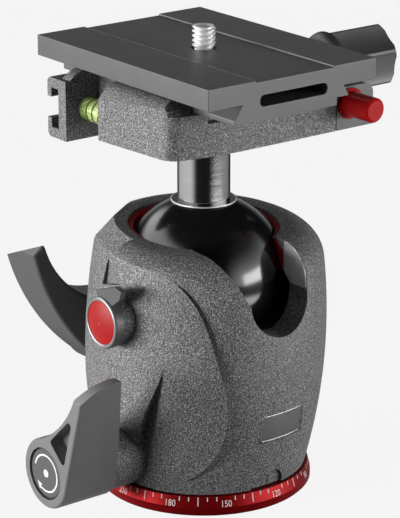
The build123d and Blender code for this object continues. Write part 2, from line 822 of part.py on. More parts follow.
def clamp_body():
    top_z = clamp_floor_z + jaw_ridge
    body = Pos(0, 0, clamp_bottom_z) * extrude(clamp_plan(), top_z - clamp_bottom_z)
    profile = make_face(
        Spline((dovetail_left - 4.0, top_z), (-26.6, top_z - 0.8), (-28.6, top_z - 2.3),
               (clamp_left, top_z - 4.4))
        + Polyline((clamp_left, top_z - 4.4), (clamp_left - 5, 0), (far, 0), (far, clamp_floor_z),
                   (dovetail_left - 0.1, clamp_floor_z), (dovetail_left - 0.1, dovetail_left_z + 0.1),
                   (dovetail_left + 1.5, top_z), (dovetail_left - 4.0, top_z))
    )
    body &= front_prism(profile, -far, far)
    front_end = polygon((-far, clamp_floor_z), (jaw_ridge_front_y, clamp_floor_z),
                        (jaw_ridge_front_y, top_z - jaw_ridge_chamfer),
                        (jaw_ridge_front_y + jaw_ridge_chamfer, top_z + 0.1), (-far, top_z + 0.1))
    body -= side_prism(front_end, -far, far)
    body -= block((front_step_x, far), (-far, front_step_back_y), (clamp_floor_z - front_step_depth, sky))
    body -= block((-far, clamp_pocket_x), (clamp_block_back_y, clamp_wall_front_y), (0, sky))
    body += rear_channel()
    body -= disc(stem_radius + seat_gap, 0, stem_top_z)
    body -= disc(stem_bolt_radius + seat_gap, 0, sky)
    body -= turned(
        (0, stem_bolt_shoulder_z - face_gap),
        (stem_bolt_radius + face_gap, stem_bolt_shoulder_z - face_gap),
        (stem_bolt_head_radius + face_gap + stem_bolt_head_sink, plate_bottom_z),
        (0, plate_bottom_z),
    )
    screw_bore = toward_right * disc(clamp_screw_radius + run_gap, clamp_screw_end_x - 1, far)
    body -= Pos(0, knob_y, knob_z) * screw_bore
    for side in (-1, 1):
        body -= (Pos(0, side * guide_pin_y, guide_pin_z) * toward_right
                 * disc(guide_pin_radius + seat_gap, guide_pin_left, far))
    body -= Pos(vial_x, 0, vial_z) * toward_back * disc(
        vial_radius + seat_gap, clamp_block_back_y - vial_seat_depth, clamp_wall_front_y + vial_seat_depth)
    return body


def rear_channel():
    """The wall at the back with its two turned-in flanges."""
    back_face = clamp_half_length
    back_y = back_face + channel_depth
    lip_y = back_y - channel_lip_thickness
    low = channel_bottom_z + channel_flange
    high = channel_top_z - channel_flange
    outline = polygon(
        (clamp_wall_front_y, channel_bottom_z),
        (back_y - 1, channel_bottom_z), (back_y, channel_bottom_z + 1),
        (back_y, low + channel_lip), (lip_y, low + channel_lip), (lip_y, low), (back_face, low),
        (back_face, high), (lip_y, high), (lip_y, high - channel_lip), (back_y, high - channel_lip),
        (back_y, channel_top_z - 1), (back_y - 1, channel_top_z), (clamp_wall_front_y, channel_top_z))
    channel = side_prism(outline, clamp_left, clamp_right)
    return channel - block((dovetail_left - 0.1, far), (0, far), (clamp_floor_z, sky))


def guide_pins():
    return [
        Pos(0, side * guide_pin_y, guide_pin_z) * toward_right
        * disc(guide_pin_radius, guide_pin_left, guide_pin_right)
        for side in (-1, 1)
    ]


def side_vial():
    return (Pos(vial_x, 0, vial_z) * toward_back
            * disc(vial_radius, clamp_block_back_y - vial_seat_depth, clamp_wall_front_y + vial_seat_depth))


def rear_vial():
    return (Pos(0, clamp_half_length + rear_vial_radius + face_gap, rear_vial_z) * toward_right
            * disc(rear_vial_radius, -rear_vial_length / 2, rear_vial_length / 2))


def movable_jaw():
    """The jaw's block beside the clamp and its lip over the clamp's floor."""
    block_top_z = clamp_floor_z + face_gap
    top_z = clamp_floor_z + jaw_ridge
    side = block((jaw_left, jaw_right), (-clamp_half_length, clamp_half_length),
                 (clamp_bottom_z, block_top_z))
    top_right = side.edges().filter_by(Axis.Y).group_by(Axis.X)[-1].sort_by(Axis.Z)[-1]
    side = fillet(top_right, jaw_round)
    lip = make_face(
        Polyline((lip_right - lip_round, top_z), (dovetail_neck + 1.1, top_z),
                 (dovetail_right + 0.1, dovetail_right_z), (dovetail_right + 0.1, block_top_z),
                 (jaw_left, block_top_z), (jaw_left, block_top_z - 1), (lip_right, block_top_z - 1),
                 (lip_right, top_z - lip_round))
        + RadiusArc((lip_right, top_z - lip_round), (lip_right - lip_round, top_z), -lip_round)
    )
    lip = front_prism(lip, jaw_ridge_front_y, clamp_half_length)
    front_y = jaw_ridge_front_y
    front_end = polygon((front_y - 1, top_z - jaw_ridge_chamfer), (front_y, top_z - jaw_ridge_chamfer),
                        (front_y + jaw_ridge_chamfer, top_z + 0.1), (front_y - 1, top_z + 0.1))
    jaw = side + (lip - side_prism(front_end, 0, far))
    jaw -= Pos(0, knob_y, knob_z) * toward_right * disc(clamp_screw_radius + run_gap, 0, far)
    for pin_side in (-1, 1):
        jaw -= (Pos(0, pin_side * guide_pin_y, guide_pin_z) * toward_right
                * disc(guide_pin_radius + run_gap, 0, guide_pin_right + 0.4))
    bore = Pos(button_x, 0, button_z) * toward_front
    jaw -= bore * disc(button_radius + run_gap, -button_bore_back_y, far)
    jaw -= bore * disc(button_bush_radius + seat_gap, clamp_half_length - button_bush_depth, far)
    return jaw


def button_bush():
    return Pos(button_x, 0, button_z) * toward_front * ring(
        button_bush_radius, button_radius + run_gap,
        clamp_half_length - button_bush_depth, clamp_half_length + button_bush_proud)


def release_button():
    button = disc(button_radius, -button_back_y, -button_front_y)
    button = chamfer(button.edges().sort_by(Axis.Z)[-1], button_chamfer)
    return Pos(button_x, 0, button_z) * toward_front * button


def clamp_screw():
    return Pos(0, knob_y, knob_z) * toward_right * disc(clamp_screw_radius, clamp_screw_end_x, knob_rim_x + 8)


def knob_washer():
    return Pos(0, knob_y, knob_z) * toward_right * ring(
        knob_neck_radius + 0.8, clamp_screw_radius + seat_gap, jaw_right + face_gap, knob_neck_x)


def clamp_knob():
    """A six-lobed grip with broad hollow flutes, on a domed shoulder and a neck."""
    outline = (
        Polyline((knob_radius, knob_rim_x), (knob_radius, knob_end_x - 1.2), (knob_radius - 1.2, knob_end_x),
                 (0, knob_end_x), (0, knob_neck_x), (knob_neck_radius, knob_neck_x),
                 (knob_neck_radius, knob_shoulder_x), (knob_neck_radius + 1.6, knob_shoulder_x))
        + ThreePointArc((knob_neck_radius + 1.6, knob_shoulder_x), (knob_radius - 0.8, knob_shoulder_x + 1.4),
                        (knob_radius, knob_rim_x))
    )
    grip = revolve(make_face(Plane.XZ * outline), Axis.Z)
    flute_x = knob_radius + knob_flute_radius - knob_flute_depth
    for i in range(knob_lobes):
        turn = Rot(0, 0, 360 / knob_lobes * (i + 0.5) + knob_first_lobe)
        grip -= turn * Pos(flute_x, 0, 0) * disc(knob_flute_radius, knob_rim_x - 0.6, knob_end_x + 1)
    hole = disc(clamp_screw_radius + seat_gap, 0, knob_rim_x + 8.2)
    return Pos(0, knob_y, knob_z) * toward_right * (grip - hole)


# ================================================================ plate
def qr_plate():
    half = plate_width / 2
    section = polygon(
        (-half, plate_flange_z), (-dovetail_neck, plate_flange_z), (dovetail_left, dovetail_left_z),
        (dovetail_left, plate_bottom_z), (dovetail_rebate_x, plate_bottom_z),
        (dovetail_rebate_x, dovetail_right_z),
        (dovetail_right, dovetail_right_z), (dovetail_neck, plate_flange_z), (half, plate_flange_z),
        (half, plate_top_z), (plate_band_right, plate_top_z),
        (plate_band_right, plate_top_z - plate_band_depth), (plate_band_left, plate_top_z - plate_band_depth),
        (plate_band_left, plate_top_z), (-half, plate_top_z))
    plate = front_prism(section, -plate_length / 2, plate_length / 2)
    slot = RectangleRounded(2 * slot_half_width, slot_high_z - slot_low_z, slot_corner_radius)
    slot = Pos(0, (slot_high_z + slot_low_z) / 2) * slot
    for side in (-1, 1):
        ends = sorted((side * (plate_length / 2 + 1), side * (plate_length / 2 - slot_depth)))
        plate -= front_prism(slot, *ends)
    plate -= disc(camera_screw_radius + part_gap, clamp_floor_z, sky)
    plate -= disc(camera_screw_head_radius + part_gap, clamp_floor_z, camera_head_top_z + face_gap)
    return plate


def camera_screw():
    screw = turned(
        (0, camera_head_top_z - camera_screw_head_height),
        (camera_screw_head_radius, camera_head_top_z - camera_screw_head_height),
        (camera_screw_head_radius, camera_head_top_z),
        (camera_screw_neck_radius, camera_head_top_z),
        (camera_screw_neck_radius, plate_top_z - camera_screw_runout),
        (camera_screw_radius, plate_top_z + camera_screw_runout),
        (camera_screw_radius, camera_screw_top_z - camera_screw_tip_chamfer),
        (camera_screw_radius - camera_screw_tip_chamfer, camera_screw_top_z),
        (0, camera_screw_top_z),
    )
    coin_slot_end_z = camera_head_top_z - camera_screw_head_height + coin_slot_depth
    coin_slot = block((-far, far), (-coin_slot_half_width, coin_slot_half_width), (0, coin_slot_end_z))
    return screw - coin_slot


# ---------------------------------------------------------------- places that follow from the sizes
spindle_top_z = web_top_z + washer_thickness + face_gap
retainer_head_z = spindle_top_z + retainer_thickness - (retainer_head_radius - retainer_screw_radius)
pan_pad_seat_x = spindle_radius - spindle_groove_depth + pan_pad_length + 4 * pan_pad_gap
lock_collar_end_y = math.sqrt(cavity_radius**2 - lock_bush_radius**2) - part_gap
lock_collar_y = lock_collar_end_y - lock_collar_thickness
wedge_bottom_z = floor_top_z + face_gap
collar_bottom_z = ball_z + math.sqrt(ball_radius**2 - collar_radius**2) - 0.4
stem_bolt_head_z = clamp_floor_z - stem_bolt_head_sink
stem_bolt_shoulder_z = stem_bolt_head_z - (stem_bolt_head_radius - stem_bolt_radius)
camera_head_top_z = plate_bottom_z + camera_screw_head_above_floor + camera_screw_head_height


pieces = {
    "pan_base": pan_base,
    "base_thread_insert": base_thread_insert,
    "pan_retainer": pan_retainer,
    "retainer_screws": retainer_screws,
    "glide_washer": glide_washer,
    "body_casting": body_casting,
    "badge_plate": badge_plate,
    "bearing_floor": bearing_floor,
    "thrust_washer": thrust_washer,
    "ball_liner": ball_liner,
    "lock_bush": lock_bush,
    "lower_cup": lower_cup,
    "lock_wedge": lock_wedge,
    "ball_lock_shaft": ball_lock_shaft,
    "ball_lock_lever": ball_lock_lever,
    "ball_lock_cap": ball_lock_cap,
    "pan_lock_pad": pan_lock_pad,
    "pan_lock_screw": pan_lock_screw,
    "pan_lock_lever": pan_lock_lever,
    "pan_lock_cap": pan_lock_cap,
    "friction_knob": friction_knob,
    "friction_cap": friction_cap,
    "friction_screw": friction_screw,
    "friction_pad": friction_pad,
    "ball": ball,
    "ball_core": ball_core,
    "ball_collar": ball_collar,
    "stem": stem,
    "stem_bolt": stem_bolt,
    "clamp_body": clamp_body,
    "guide_pins": guide_pins,
    "side_vial": side_vial,
    "rear_vial": rear_vial,
    "movable_jaw": movable_jaw,
    "button_bush": button_bush,
    "release_button": release_button,
    "clamp_screw": clamp_screw,
    "knob_washer": knob_washer,
    "clamp_knob": clamp_knob,
    "qr_plate": qr_plate,
    "camera_screw": camera_screw,
}

os.makedirs("parts", exist_ok=True)
for name, make in pieces.items():
    made = make()
    solids = made if isinstance(made, list) else [made]
    export_step(Compound(children=[s for piece in solids for s in piece.solids()]), f"parts/{name}.step")
    print(name, round(sum(piece.volume for piece in solids), 1))
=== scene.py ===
import bpy
import bmesh
import json
import math
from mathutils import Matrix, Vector
from mathutils.bvhtree import BVHTree


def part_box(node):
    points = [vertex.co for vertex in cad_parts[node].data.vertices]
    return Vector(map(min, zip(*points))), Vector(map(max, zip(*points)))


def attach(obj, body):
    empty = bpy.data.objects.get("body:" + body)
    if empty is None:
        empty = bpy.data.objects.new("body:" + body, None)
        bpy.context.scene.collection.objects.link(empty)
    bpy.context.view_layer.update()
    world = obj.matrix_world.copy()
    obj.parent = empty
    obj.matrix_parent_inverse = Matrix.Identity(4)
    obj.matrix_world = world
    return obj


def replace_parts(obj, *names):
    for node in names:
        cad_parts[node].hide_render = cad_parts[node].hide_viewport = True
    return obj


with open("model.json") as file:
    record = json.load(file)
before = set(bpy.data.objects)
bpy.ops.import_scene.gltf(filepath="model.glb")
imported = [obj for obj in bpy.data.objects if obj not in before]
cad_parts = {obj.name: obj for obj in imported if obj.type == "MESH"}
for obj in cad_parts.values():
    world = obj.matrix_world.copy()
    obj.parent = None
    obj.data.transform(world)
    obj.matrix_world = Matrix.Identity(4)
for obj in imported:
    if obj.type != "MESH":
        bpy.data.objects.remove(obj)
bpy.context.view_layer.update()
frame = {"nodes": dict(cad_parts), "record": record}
nodes = frame["nodes"]
body_of_node = {node: body for body, held in frame["record"]["behaviour"]["bodies"].items() for node in held}
MM = 0.001
upright = Vector((0, 0, 1))


def mm(*values):
    return Vector(values) * MM


# ---------------------------------------------------------------- camera, as the photograph was taken
image_width = 400
image_height = 518
focal_pixels = 2494.66
optical_centre = (203.81, 256.77)        # pixels from the picture's upper left corner
sensor_width = 36.0
camera_azimuth = math.radians(37.68)     # from +Y towards +X
camera_drop = math.radians(18.48)
camera_distance = 0.68603
aim_height = 0.0645
nearest_seen = 0.01


def add_camera():
    forward = Vector((math.sin(camera_azimuth) * math.cos(camera_drop),
                      math.cos(camera_azimuth) * math.cos(camera_drop),
                      -math.sin(camera_drop)))
    data = bpy.data.cameras.new("photo_camera")
    data.sensor_width = sensor_width
    data.lens = focal_pixels * sensor_width / image_height
    data.shift_x = (image_width / 2 - optical_centre[0]) / image_height
    data.shift_y = (optical_centre[1] - image_height / 2) / image_height
    data.clip_start = nearest_seen
    camera = bpy.data.objects.new("photo_camera", data)
    camera.location = Vector((0, 0, aim_height)) - forward * camera_distance
    camera.rotation_euler = forward.to_track_quat("-Z", "Y").to_euler()
    bpy.context.scene.collection.objects.link(camera)
    bpy.context.scene.camera = camera


# ---------------------------------------------------------------- node trees
class Tree:
    """Short names for building the node tree of a material or of the world."""

    def __init__(self, owner):
        owner.use_nodes = True
        self.tree = owner.node_tree

    def add(self, kind, **settings):
        made = self.tree.nodes.new(kind)
        for key, value in settings.items():
            setattr(made, key, value)
        return made

    def link(self, output, target):
        self.tree.links.new(output, target)

    def span(self, value, results, over=(0.0, 1.0), smooth=False):
        """Turns a value between two limits into one between two results."""
        made = self.add("ShaderNodeMapRange", interpolation_type="SMOOTHSTEP" if smooth else "LINEAR")
        for socket, number in zip(("From Min", "From Max", "To Min", "To Max"), (*over, *results)):
            made.inputs[socket].default_value = number
        self.link(value, made.inputs["Value"])
        return made.outputs["Result"]

    def step(self, value, over, results=(0.0, 1.0)):
        return self.span(value, results, over, smooth=True)

    def combine(self, operation, first, second):
        """Joins two outputs, or an output and a number, in a Math node."""
        made = self.add("ShaderNodeMath", operation=operation)
        self.link(first, made.inputs[0])
        if isinstance(second, float):
            made.inputs[1].default_value = second
        else:
            self.link(second, made.inputs[1])
        return made.outputs["Value"]

    def along(self, direction, axis):
        """How far a direction points along an axis."""
        made = self.add("ShaderNodeVectorMath", operation="DOT_PRODUCT")
        made.inputs[1].default_value = axis
        self.link(direction, made.inputs[0])
        return made.outputs["Value"]


class Finish(Tree):
    """The material of a piece, built round one Principled shader in the object's own coordinates."""

    def __init__(self, name):
        self.material = bpy.data.materials.new(name)
        super().__init__(self.material)
        self.shader = self.tree.nodes["Principled BSDF"]
        self.place = self.add("ShaderNodeTexCoord").outputs["Object"]

    def noise(self, size_mm, detail=2.0, rough=0.5, stretch=None):
        """Noise whose features are about size_mm across."""
        place = self.place
        if stretch:
            mapping = self.add("ShaderNodeMapping")
            mapping.inputs["Scale"].default_value = stretch
            self.link(place, mapping.inputs["Vector"])
            place = mapping.outputs["Vector"]
        made = self.add("ShaderNodeTexNoise")
        made.inputs["Scale"].default_value = 1.0 / (size_mm * MM)
        made.inputs["Detail"].default_value = detail
        made.inputs["Roughness"].default_value = rough
        self.link(place, made.inputs["Vector"])
        return made.outputs["Fac"]

    def ramp(self, value, *stops):
        made = self.add("ShaderNodeValToRGB")
        elements = made.color_ramp.elements
        while len(elements) < len(stops):
            elements.new(0.5)
        for element, (position, colour) in zip(elements, stops):
            element.position = position
            element.color = (*colour, 1.0)
        self.link(value, made.inputs["Fac"])
        return made.outputs["Color"]

    def bump(self, height, strength, depth_mm, before=None):
        made = self.add("ShaderNodeBump")
        made.inputs["Strength"].default_value = strength
        made.inputs["Distance"].default_value = depth_mm * MM
        self.link(height, made.inputs["Height"])
        if before:
            self.link(before, made.inputs["Normal"])
        return made.outputs["Normal"]

    def mix(self, factor, first, second):
        made = self.add("ShaderNodeMix", data_type="RGBA")
        self.link(factor, made.inputs["Factor"])
        for value, socket in ((first, made.inputs["A"]), (second, made.inputs["B"])):
            if isinstance(value, tuple):
                socket.default_value = (*value, 1.0)
            else:
                self.link(value, socket)
        return made.outputs["Result"]

    def finish(self, colour, roughness, normal=None, **sockets):
        if isinstance(colour, tuple):
            self.shader.inputs["Base Color"].default_value = (*colour, 1.0)
        else:
            self.link(colour, self.shader.inputs["Base Color"])
        self.link(roughness, self.shader.inputs["Roughness"])
        if normal:
            self.link(normal, self.shader.inputs["Normal"])
        for socket, value in sockets.items():
            self.shader.inputs[socket.replace("_", " ")].default_value = value
        return self.material


def grey(value):
    return (value, value, value * 1.01)


def shade(colour, share):
    return tuple(min(channel * share, 1.0) for channel in colour)


# ---------------------------------------------------------------- materials
def grained_coat():
    """The coarse powder coat of the castings: dark grey grains with pale tips."""
    g = Finish("grained_coat")
    grain = g.noise(0.34, detail=4.0, rough=0.75)
    blotch = g.noise(5.0, detail=3.0)
    speckle = g.ramp(grain, (0.38, grey(0.014)), (0.52, grey(0.125)), (0.64, grey(0.66)))
    tone = g.mix(g.span(blotch, (0.0, 0.15)), speckle, grey(0.14))
    normal = g.bump(grain, 0.5, 0.07, before=g.bump(blotch, 0.08, 0.3))
    return g.finish(tone, g.span(grain, (0.66, 0.46)), normal, Specular_IOR_Level=0.4)


def polished_steel():
    """Turned and polished steel, with fine rings round the upright axis."""
    g = Finish("polished_steel")
    rings = g.noise(0.6, stretch=(0.05, 0.05, 1.0))
    colour = g.mix(rings, grey(0.62), grey(0.72))
    return g.finish(colour, g.span(rings, (0.10, 0.19)), g.bump(rings, 0.05, 0.02), Metallic=1.0)


def clear_plastic():
    g = Finish("clear_plastic")
    return g.finish((0.93, 0.97, 0.88), g.span(g.noise(6.0), (0.02, 0.06)), Transmission_Weight=1.0, IOR=1.49)


def cloudy(name, first, second, roughness, cloud, share=1.0, fine=None, **sockets):
    """A finish whose colour and roughness drift in soft clouds.

    cloud is the clouds' (size in mm, detail), share how much of the second colour they reach, and fine the
    (size in mm, detail, strength, depth in mm) of a bump over it.
    """
    g = Finish(name)
    drift = g.noise(*cloud)
    factor = drift if share == 1.0 else g.span(drift, (0.0, share))
    normal = g.bump(g.noise(*fine[:2]), *fine[2:]) if fine else None
    return g.finish(g.mix(factor, first, second), g.span(drift, roughness), normal, **sockets)


def satin_black(name, tone):
    return cloudy(name, grey(tone), grey(tone * 1.35), (0.36, 0.45), cloud=(9.0, 3.0), share=0.6,
                  fine=(0.12, 2.0, 0.10, 0.02), Metallic=0.2)


def moulded(name, tone):
    return cloudy(name, grey(tone), grey(tone * 1.3), (0.40, 0.48), cloud=(8.0, 2.0), share=0.5,
                  fine=(0.25, 3.0, 0.25, 0.03))


def turned_metal(name, colour, roughness=(0.24, 0.38)):
    return cloudy(name, shade(colour, 0.8), colour, roughness, cloud=(0.5, 2.0), fine=(0.5, 2.0, 0.08, 0.02),
                  Metallic=1.0)


def red_plastic(name, colour, roughness):
    return cloudy(name, shade(colour, 0.85), colour, roughness, cloud=(4.0, 2.0), fine=(0.2, 2.0, 0.06, 0.02),
                  Specular_IOR_Level=0.22)


def satin_trim(name, tone, roughness):
    return cloudy(name, grey(tone * 0.85), grey(tone * 1.1), roughness, cloud=(2.0, 3.0),
                  fine=(0.15, 2.0, 0.06, 0.02), Metallic=0.6)


def ink(name, colour):
    return cloudy(name, colour, shade(colour, 1.12), (0.45, 0.6), cloud=(0.6, 3.0))


def make_materials():
    return {
        "coat": grained_coat(),
        "satin": satin_black("satin_anodised", 0.098),
        "moulded": moulded("moulded_black", 0.08),
        # the pan lock lever's black plastic, painted lighter to stand for the light it catches
        "moulded_black_painted_lighter": moulded("moulded_black_painted_lighter", 0.17),
        "ball": cloudy("polished_black", grey(0.004), grey(0.007), (0.13, 0.19), cloud=(12.0, 3.0),
                       fine=(0.1, 2.0, 0.03, 0.01)),
        "bright": polished_steel(),
        "thread": cloudy("bright_thread", grey(0.74), grey(0.84), (0.22, 0.32), cloud=(1.5, 2.0),
                         Metallic=0.3),
        "steel": turned_metal("turned_steel", (0.50, 0.50, 0.51)),
        "brass": turned_metal("turned_brass", (0.62, 0.44, 0.19)),
        "aluminium": turned_metal("turned_aluminium", (0.60, 0.60, 0.61), (0.30, 0.44)),
        "red": cloudy("red_anodised", (0.17, 0.002, 0.003), (0.23, 0.003, 0.005), (0.34, 0.44),
                      cloud=(5.0, 3.0), fine=(0.15, 2.0, 0.08, 0.02), Metallic=0.45, Specular_IOR_Level=0.1),
        "red_plastic": red_plastic("red_plastic", (0.62, 0.010, 0.012), (0.33, 0.44)),
        "red_cap": red_plastic("red_cap", (0.42, 0.008, 0.008), (0.39, 0.50)),
        "red_liner": red_plastic("red_liner", (0.55, 0.014, 0.018), (0.37, 0.48)),
        "pale": cloudy("pale_plastic", (0.72, 0.71, 0.68), (0.80, 0.79, 0.76), (0.4, 0.5),
                       cloud=(3.0, 2.0)),
        "liquid": cloudy("level_liquid", (0.58, 0.70, 0.22), (0.66, 0.78, 0.32), (0.06, 0.10),
                         cloud=(4.0, 2.0), Coat_Weight=0.5),
        "clear": clear_plastic(),
        "bubble": cloudy("pale_bubble", (0.80, 0.86, 0.50), (0.88, 0.92, 0.66), (0.05, 0.1),
                         cloud=(3.0, 2.0)),
        # black print, and the painted shadow line on the plate
        "ink": ink("black_ink_and_painted_shadow", grey(0.02)),
        "ink_pale": ink("pale_ink", (0.80, 0.77, 0.75)),
        "ring": satin_trim("grey_trim", 0.30, (0.29, 0.39)),
        # bright trim for the badge frame, and the painted highlight strips on the plate and the notch edge
        "frame": satin_trim("bright_trim_and_painted_highlight", 0.42, (0.23, 0.33)),
        "badge": satin_trim("badge_face", 0.17, (0.35, 0.45)),
        "lining": satin_trim("smooth_lining", 0.80, (0.37, 0.47)),
    }


finish_of_node = {
    "coat": ("body_casting", "clamp_body"),
    "satin": ("qr_plate", "movable_jaw"),
    "badge": ("badge_plate",),
    "moulded": ("ball_lock_lever", "ball_lock_cap", "pan_lock_cap", "friction_knob", "clamp_knob"),
    # the pan lock lever: the same black plastic, with painted light
    "moulded_black_painted_lighter": ("pan_lock_lever",),
    "ball": ("ball", "ball_core", "ball_collar"),
    "bright": ("stem", "camera_screw"),
    "steel": ("base_thread_insert", "pan_retainer", "retainer_screws", "lock_wedge", "ball_lock_shaft",
              "pan_lock_screw", "friction_screw", "stem_bolt", "guide_pins", "clamp_screw", "knob_washer"),
    "brass": ("lock_bush", "pan_lock_pad"),
    "aluminium": ("bearing_floor",),
    "red": ("pan_base", "button_bush"),
    "red_plastic": ("release_button",),
    "red_cap": ("friction_cap",),
    "red_liner": ("ball_liner",),
    "pale": ("glide_washer", "thrust_washer", "lower_cup", "friction_pad"),
    "liquid": ("side_vial", "rear_vial"),
}


def dress(obj, material):
    obj.data.materials.clear()
    obj.data.materials.append(material)


# ---------------------------------------------------------------- making pieces
merge_distance = 2e-6
flat_angle = math.radians(0.6)       # faces that turn less than this against each other are joined
sharp_angle = math.radians(32.0)     # edges that turn more than this are rounded
face_weight = 100
clear_front_y = -0.06                # in front of the whole object


def add_piece(node, name, bm, material, smooth=True):
    """A new piece that rides with a CAD node."""
    bmesh.ops.recalc_face_normals(bm, faces=bm.faces[:])
    mesh = bpy.data.meshes.new(name)
    bm.to_mesh(mesh)
    bm.free()
    obj = bpy.data.objects.new(name, mesh)
    bpy.context.scene.collection.objects.link(obj)
    for polygon in mesh.polygons:
        polygon.use_smooth = smooth
    dress(obj, material)
    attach(obj, body_of_node[node])
    return obj


def soften(obj, width_mm, segments):
    """Rounds the sharp edges of a piece."""
    bevel = obj.modifiers.new("rounded_edges", "BEVEL")
    bevel.width = width_mm * MM
    bevel.segments = segments
    bevel.limit_method = "ANGLE"
    bevel.angle_limit = sharp_angle
    bevel.use_clamp_overlap = True
    weighted = obj.modifiers.new("even_shading", "WEIGHTED_NORMAL")
    weighted.keep_sharp = True
    weighted.weight = face_weight


def node_bmesh(name):
    bm = bmesh.new()
    bm.from_mesh(nodes[name].data)
    bmesh.ops.remove_doubles(bm, verts=bm.verts[:], dist=merge_distance)
    return bm


def add_rounded_copy(name, material, width_mm, segments):
    """Stands for a CAD node with the same shape and rounded edges."""
    bm = node_bmesh(name)
    bmesh.ops.dissolve_limit(bm, angle_limit=flat_angle, verts=bm.verts[:], edges=bm.edges[:])
    obj = add_piece(name, name + "_finished", bm, material)
    soften(obj, width_mm, segments)
    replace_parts(obj, name)


def skin_rows(bm, made):
    """Faces between closed rows of vertices."""
    count = len(made[0])
    for low, high in zip(made, made[1:]):
        for i in range(count):
            j = (i + 1) % count
            bm.faces.new((low[i], low[j], high[j], high[i]))


def add_rows(bm, rows):
    """Joins closed rows of points into a surface with its two ends capped."""
    made = [[bm.verts.new(point) for point in row] for row in rows]
    skin_rows(bm, made)
    bm.faces.new(made[0])
    bm.faces.new(made[-1])


def ring_rows(profile, steps, at):
    """Rows of points round an axis, one for each (radius, height) of a profile."""
    turn = 2 * math.pi / steps
    return [[at(radius * math.cos(turn * i), radius * math.sin(turn * i), height) for i in range(steps)]
            for radius, height in profile]


def add_turned_ring(bm, profile, steps, at):
    """A ring whose section is a closed profile of (radius, height)."""
    made = [[bm.verts.new(point) for point in row] for row in ring_rows(profile, steps, at)]
    skin_rows(bm, made + made[:1])


def front_of(name):
    """Gives a function that finds a CAD node's front: the place and the outward normal at an x and a z."""
    bm = node_bmesh(name)
    tree = BVHTree.FromBMesh(bm)
    bm.free()

    def hit(x, z):
        place, normal, _, _ = tree.ray_cast(Vector((x, clear_front_y, z)), Vector((0, 1, 0)))
        return (place, -normal if normal.y > 0 else normal) if place else None

    return hit


def add_laid_strip(bm, path, width, lift, sink=0.05):
    """A thin flat strip along points with normals, its foot sunk in the surface that it lies on."""
    rows = []
    for i, (place, normal) in enumerate(path):
        before = path[max(i - 1, 0)][0]
        after = path[min(i + 1, len(path) - 1)][0]
        side = (after - before).cross(normal).normalized() * (width * MM / 2)
        top = normal * (lift * MM)
        low = -normal * (sink * MM)
        rows.append([place - side + low, place + side + low, place + side + top, place - side + top])
    add_rows(bm, rows)


def steps_between(start, end, count):
    return [start + (end - start) * k / count for k in range(count + 1)]


# ---------------------------------------------------------------- camera screw with its thread
thread_pitch = 1.27
thread_major = 3.165
thread_minor = 2.5
thread_steps = 72
thread_rows_per_turn = 14
thread_sink = 0.3            # the thread starts this far below the plate's top
thread_overlap = 0.1
flank_slope = 3.2
crest_share = 0.3
lead_in = 1.2                # the thread's growth in radius for each mm from its start
tip_step = 0.15
tip_slope = 1.3


def thread_radius(z, share, start, end):
    phase = (z / thread_pitch - share) % 1.0
    flank = min(max(abs(phase - 0.5) * flank_slope - crest_share, 0.0), 1.0)
    radius = thread_major - (thread_major - thread_minor) * flank
    return min(radius, thread_minor + (z - start) * lead_in, thread_minor + tip_step + (end - z) * tip_slope)


def add_camera_screw(material):
    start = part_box("qr_plate")[1].z / MM - thread_sink
    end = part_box("camera_screw")[1].z / MM
    bm = node_bmesh("camera_screw")
    everything = bm.verts[:] + bm.edges[:] + bm.faces[:]
    bmesh.ops.bisect_plane(bm, geom=everything, dist=1e-7, plane_co=mm(0, 0, start - thread_overlap),
                           plane_no=(0, 0, 1), clear_outer=True)
    rim = [edge for edge in bm.edges if edge.is_boundary]
    bmesh.ops.holes_fill(bm, edges=rim)
    rows = []
    for z in steps_between(start, end, int((end - start) / thread_pitch * thread_rows_per_turn)):
        row = []
        for i in range(thread_steps):
            share = i / thread_steps
            radius = thread_radius(z, share, start, end)
            turn = 2 * math.pi * share
            row.append(mm(radius * math.cos(turn), radius * math.sin(turn), z))
        rows.append(row)
    add_rows(bm, rows)
    screw = add_piece("camera_screw", "camera_screw_threaded", bm, material)
    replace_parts(screw, "camera_screw")


# ---------------------------------------------------------------- degree scale on the base ring
scale_index = 124.25         # the mark that stands at the front index
tick_step = 5
long_tick_step = 15
number_step = 30
scale_top = (29.2, 5.5)      # radius and height of the cone's upper edge
scale_foot = (30.0, 2.5)
tick_foot_z = 4.25
long_tick_foot_z = 3.0
tick_top_z = scale_top[1] - 0.12
tick_half_width = 0.13
tick_sink = 0.05
tick_lift = 0.03
number_height = 1.75
number_foot_z = 2.65
number_depth = 0.04
number_sink = 0.01
number_narrowing = 0.86
capital_share = 0.7          # the height of the font's figures for a size of 1


def cone_point(turn, z, lift):
    share = (z - scale_foot[1]) / (scale_top[1] - scale_foot[1])
    radius = scale_foot[0] + (scale_top[0] - scale_foot[0]) * share + lift
    return mm(radius * math.sin(turn), -radius * math.cos(turn), z)


def mark_turn(mark):
    return math.radians(scale_index - mark)


def add_scale(material):
    bm = bmesh.new()
    half = tick_half_width / scale_foot[0]
    for mark in range(0, 360, tick_step):
        if mark % number_step == 0:
            continue
        foot = long_tick_foot_z if mark % long_tick_step == 0 else tick_foot_z
        left, right = mark_turn(mark) - half, mark_turn(mark) + half
        rows = [[cone_point(left, z, -tick_sink), cone_point(right, z, -tick_sink),
                 cone_point(right, z, tick_lift), cone_point(left, z, tick_lift)]
                for z in (foot, tick_top_z)]
        add_rows(bm, rows)
    add_piece("pan_base", "scale_ticks", bm, material, smooth=False)
    for mark in range(0, 360, number_step):
        add_number(mark, material)


